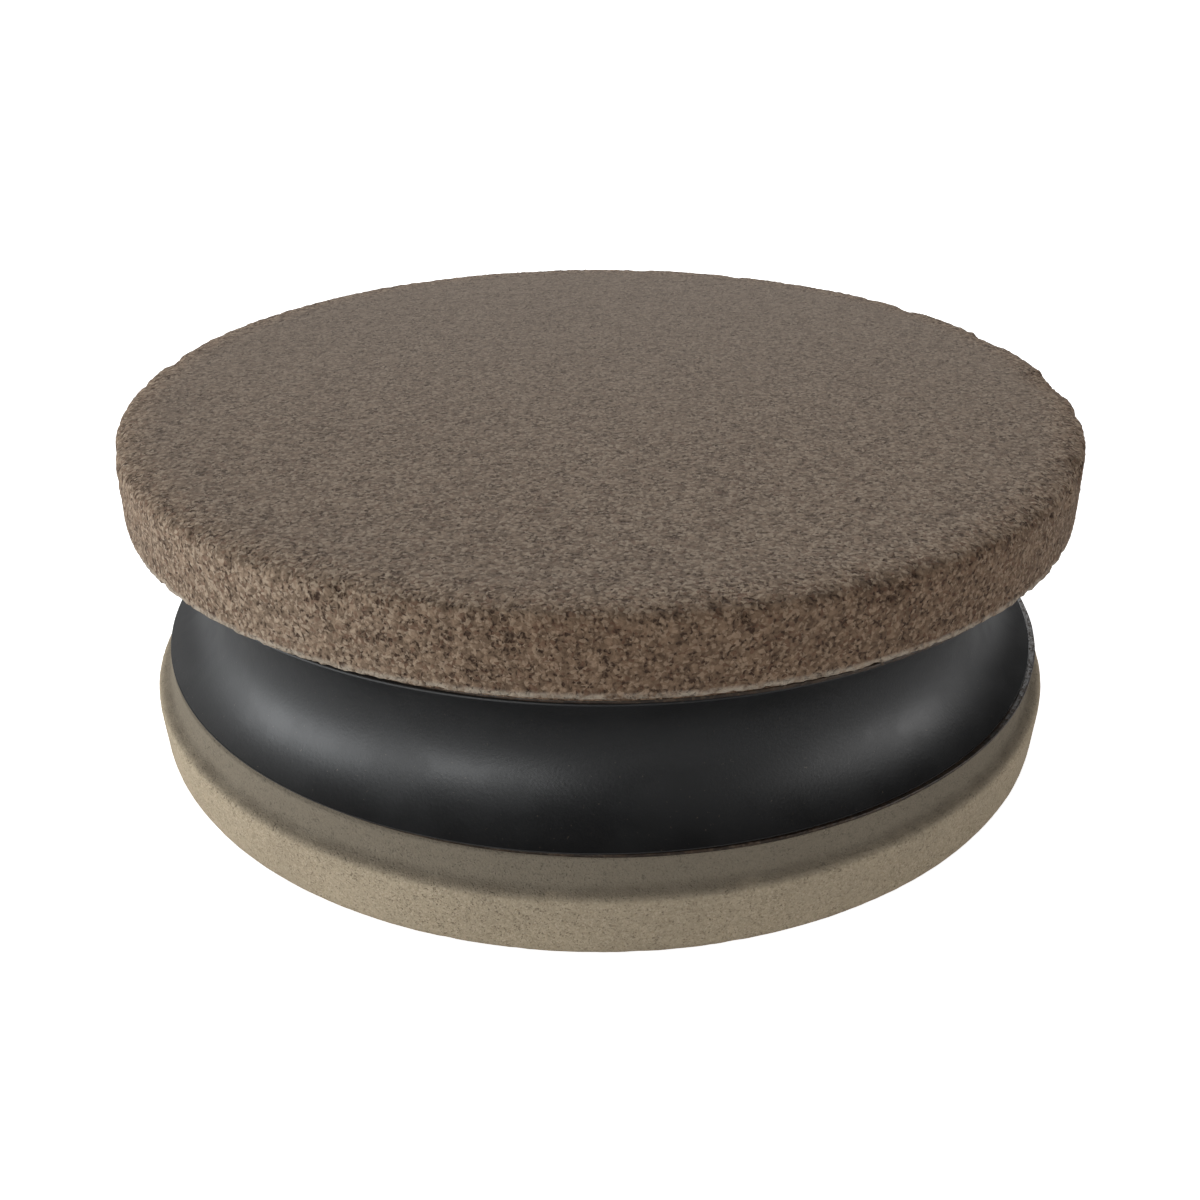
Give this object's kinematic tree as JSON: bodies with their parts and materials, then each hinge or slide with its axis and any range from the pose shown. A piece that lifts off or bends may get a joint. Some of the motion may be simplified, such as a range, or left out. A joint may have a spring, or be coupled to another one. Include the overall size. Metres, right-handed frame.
{
  "type": "two-sided abrasive hand puck",
  "caption": "Round hand-held abrasive puck: a coarse stone disc and a fine stone disc bonded to a waisted black grip, for rubbing down and sharpening by hand.",
  "frame": {"origin": "centre of the fine stone's working face, which is the face that the puck rests on", "axes": "+Z along the puck's own axis, up from the fine stone through the grip to the coarse stone; +X is the side that the grip sits slightly towards"},
  "size_m": [0.075, 0.075, 0.0265],
  "materials": {
    "coarse_abrasive": "coarse open-pored vitrified grit, brown",
    "fine_abrasive": "fine even vitrified grit, tan",
    "grip_plastic": "satin black moulding",
    "adhesive": "cured brown epoxy with stone dust in it"
  },
  "bodies": {
    "root": {"fine_stone": "fine_abrasive", "fine_adhesive": "adhesive", "grip": "grip_plastic", "coarse_adhesive": "adhesive", "coarse_stone": "coarse_abrasive"}
  },
  "joints": []
}
